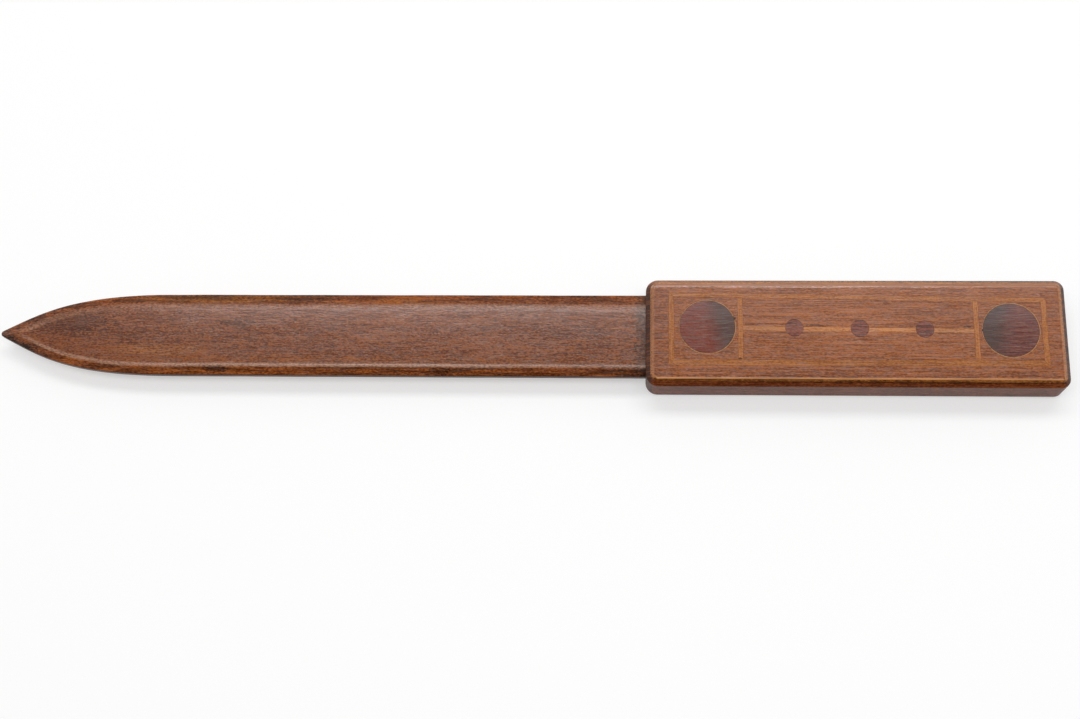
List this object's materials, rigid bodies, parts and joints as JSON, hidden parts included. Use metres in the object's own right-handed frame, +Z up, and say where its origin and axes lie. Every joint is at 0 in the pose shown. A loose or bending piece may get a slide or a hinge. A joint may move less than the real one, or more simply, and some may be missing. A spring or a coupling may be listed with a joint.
{
  "type": "letter opener",
  "caption": "Wooden letter opener with a flat bevelled blade, a pointed end and a block handle topped with inlaid stringing, discs and dots; slits envelopes.",
  "frame": {"origin": "centre of the bounding box in plan, on the plane of the handle's underside, which rests on the desk", "axes": "+X from the blade's point to the handle's butt, +Z up out of the inlaid top, +Y across"},
  "size_m": [0.3, 0.031, 0.0115],
  "materials": {
    "blade_wood": "satin lacquered hardwood",
    "core_wood": "satin lacquered hardwood",
    "backing_wood": "satin lacquered veneer",
    "ground_veneer": "satin lacquered veneer",
    "string_veneer": "satin lacquered veneer",
    "disc_veneer": "satin lacquered sand-shaded veneer",
    "dot_veneer": "satin lacquered veneer"
  },
  "bodies": {
    "root": {"backing_veneer": "backing_wood", "blade": "blade_wood", "border_ground": "ground_veneer", "butt_cross_string": "string_veneer", "butt_disc": "disc_veneer", "butt_disc_ring": "string_veneer", "butt_end_string": "string_veneer", "butt_square_ground": "ground_veneer", "centre_string_1": "string_veneer", "centre_string_2": "string_veneer", "centre_string_3": "string_veneer", "centre_string_4": "string_veneer", "dot_1": "dot_veneer", "dot_2": "dot_veneer", "dot_3": "dot_veneer", "far_panel_ground": "ground_veneer", "far_string": "string_veneer", "front_cross_string": "string_veneer", "front_disc": "disc_veneer", "front_disc_ring": "string_veneer", "front_end_string": "string_veneer", "front_square_ground": "ground_veneer", "handle_core": "core_wood", "near_panel_ground": "ground_veneer", "near_string": "string_veneer"}
  },
  "joints": []
}
